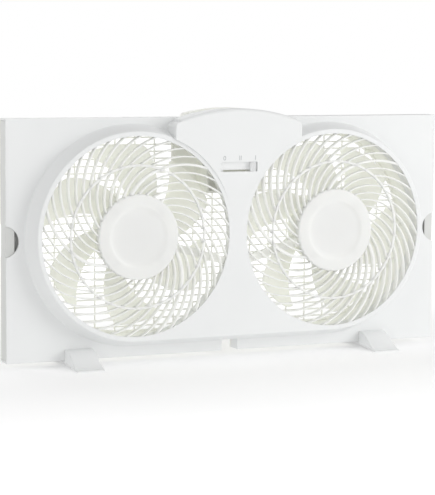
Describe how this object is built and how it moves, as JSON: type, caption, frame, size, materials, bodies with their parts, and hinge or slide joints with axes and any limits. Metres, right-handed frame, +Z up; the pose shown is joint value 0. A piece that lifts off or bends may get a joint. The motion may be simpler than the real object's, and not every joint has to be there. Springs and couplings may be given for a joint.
{
  "type": "twin window fan",
  "caption": "Slim rectangular window fan with side-by-side axial fans behind round swept grilles, an arched control crest, sliding side extenders and clip-on feet.",
  "frame": {"origin": "on the floor under the middle of the frame, where the feet stand", "axes": "+X to the right seen from the front, +Y to the back, +Z up"},
  "size_m": [0.6, 0.116, 0.319],
  "materials": {
    "housing_plastic": "white moulded plastic, satin",
    "knob_plastic": "white moulded plastic, polished",
    "impeller_plastic": "translucent milky plastic, satin",
    "lamination": "varnished electrical steel sheets",
    "winding": "enamelled copper wire",
    "zinc_casting": "pressed and plated, dull",
    "bearing_bronze": "sintered bronze",
    "steel": "zinc-plated steel",
    "dark_plastic": "black moulded plastic",
    "lead_covering": "grey vinyl"
  },
  "bodies": {
    "frame": {"front_housing": "housing_plastic", "left_front_grille": "housing_plastic", "right_front_grille": "housing_plastic", "rear_housing": "housing_plastic", "rear_guard": "housing_plastic", "left_lead_arm": "housing_plastic", "right_lead_arm": "housing_plastic", "left_lead_cover": "housing_plastic", "right_lead_cover": "housing_plastic", "left_stator": "lamination", "right_stator": "lamination", "left_windings": "winding", "right_windings": "winding", "left_front_bell": "zinc_casting", "right_front_bell": "zinc_casting", "left_rear_bell": "zinc_casting", "right_rear_bell": "zinc_casting", "left_bearings": "bearing_bronze", "right_bearings": "bearing_bronze", "motor_bolts": "steel", "motor_screws": "steel", "housing_screws": "steel", "guard_screws": "steel", "switch_screws": "steel", "switch_body": "dark_plastic", "cord_gland": "dark_plastic", "left_leads": "lead_covering", "right_leads": "lead_covering"},
    "left_fan": {"left_rotor": "lamination", "left_shaft": "steel", "left_impeller": "impeller_plastic", "left_shaft_nut": "dark_plastic"},
    "right_fan": {"right_rotor": "lamination", "right_shaft": "steel", "right_impeller": "impeller_plastic", "right_shaft_nut": "dark_plastic"},
    "control": {"switch_knob": "knob_plastic", "switch_slider": "knob_plastic"},
    "left_side": {"left_extender": "housing_plastic"},
    "right_side": {"right_extender": "housing_plastic"},
    "left_stand": {"left_foot": "housing_plastic"},
    "right_stand": {"right_foot": "housing_plastic"}
  },
  "joints": [
    {"name": "left_fan_spin", "type": "hinge", "parent": "frame", "child": "left_fan", "pos_m": [-0.137, 0, 0.161], "axis": [0, 1, 0], "continuous": true},
    {"name": "right_fan_spin", "type": "hinge", "parent": "frame", "child": "right_fan", "pos_m": [0.137, 0, 0.161], "axis": [0, 1, 0], "continuous": true},
    {"name": "control_slide", "type": "slide", "parent": "frame", "child": "control", "axis": [1, 0, 0], "range_m": [-0.037, 0]},
    {"name": "left_extender_slide", "type": "slide", "parent": "frame", "child": "left_side", "axis": [-1, 0, 0], "range_m": [0, 0.026]},
    {"name": "right_extender_slide", "type": "slide", "parent": "frame", "child": "right_side", "axis": [1, 0, 0], "range_m": [0, 0.026]},
    {"name": "left_foot_pull", "type": "slide", "parent": "frame", "child": "left_stand", "axis": [0, 0, -1], "range_m": [0, 0.02]},
    {"name": "right_foot_pull", "type": "slide", "parent": "frame", "child": "right_stand", "axis": [0, 0, -1], "range_m": [0, 0.02]}
  ]
}
